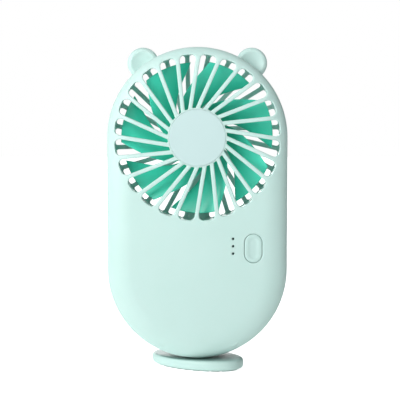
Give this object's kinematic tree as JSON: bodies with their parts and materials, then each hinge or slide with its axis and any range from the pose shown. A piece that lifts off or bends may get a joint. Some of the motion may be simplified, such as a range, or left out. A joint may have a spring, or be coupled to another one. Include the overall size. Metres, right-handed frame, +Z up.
{
  "type": "handheld electric fan",
  "caption": "Slim pill-shaped handheld electric fan with round ears, a slatted round grille, a push button on the front and a swivelling oval foot.",
  "frame": {"origin": "centre of the foot pad's underside, on the foot's turning axis", "axes": "+Z up, the grille's face and the button look along -Y, +X to the right of someone facing them"},
  "size_m": [0.066, 0.0278, 0.1189],
  "materials": {
    "mint_shell": "satin",
    "cap_plastic": "satin",
    "button_plastic": "satin",
    "teal_plastic": "semi-gloss",
    "bright_steel": "bright zinc",
    "plated_can": "nickel plated",
    "core_iron": "laminated",
    "enamelled_copper": "enamelled wire",
    "copper": "machined",
    "bronze": "sintered",
    "ferrite": "ground",
    "black_plastic": "satin",
    "black_rubber": "matt",
    "pad_rubber": "matt",
    "board_laminate": "solder mask",
    "chip_resin": "moulded resin",
    "light_resin": "clear resin",
    "clear_plastic": "clear",
    "cell_foil": "satin foil",
    "foam": "foam tape",
    "wire_cover_red": "satin",
    "wire_cover_black": "satin"
  },
  "bodies": {
    "body": {"front_shell": "mint_shell", "rear_shell": "mint_shell", "hub_cap": "cap_plastic", "motor_can": "plated_can", "motor_end_cap": "black_plastic", "motor_magnets": "ferrite", "motor_bushes": "bronze", "motor_brushes": "bronze", "motor_cushion": "black_rubber", "motor_retainer": "mint_shell", "switch_body": "black_plastic", "circuit_board": "board_laminate", "board_chips": "chip_resin", "indicator_lights": "light_resin", "light_guide": "clear_plastic", "usb_socket": "bright_steel", "usb_tongue": "black_plastic", "board_screws": "bright_steel", "battery_cell": "cell_foil", "battery_pad": "foam", "motor_wires": "wire_cover_red", "battery_wires": "wire_cover_black", "case_screws": "bright_steel"},
    "rotor": {"impeller": "teal_plastic", "motor_shaft": "bright_steel", "rotor_core": "core_iron", "rotor_windings": "enamelled_copper", "commutator": "copper"},
    "button": {"power_button": "button_plastic", "switch_plunger": "black_plastic"},
    "foot": {"foot_plate": "mint_shell", "foot_spindle": "mint_shell", "friction_ring": "black_rubber", "foot_screw": "bright_steel", "foot_pad": "pad_rubber"}
  },
  "joints": [
    {"name": "fan_spin", "type": "hinge", "parent": "body", "child": "rotor", "pos_m": [0, 0, 0.0859], "axis": [0, 1, 0], "continuous": true},
    {"name": "button_press", "type": "slide", "parent": "body", "child": "button", "axis": [0, 1, 0], "range_m": [0, 0.0004], "stiffness_N_per_m": 3000},
    {"name": "foot_turn", "type": "hinge", "parent": "body", "child": "foot", "pos_m": [0, 0, 0], "axis": [0, 0, 1], "range_deg": [-58, 32]}
  ]
}
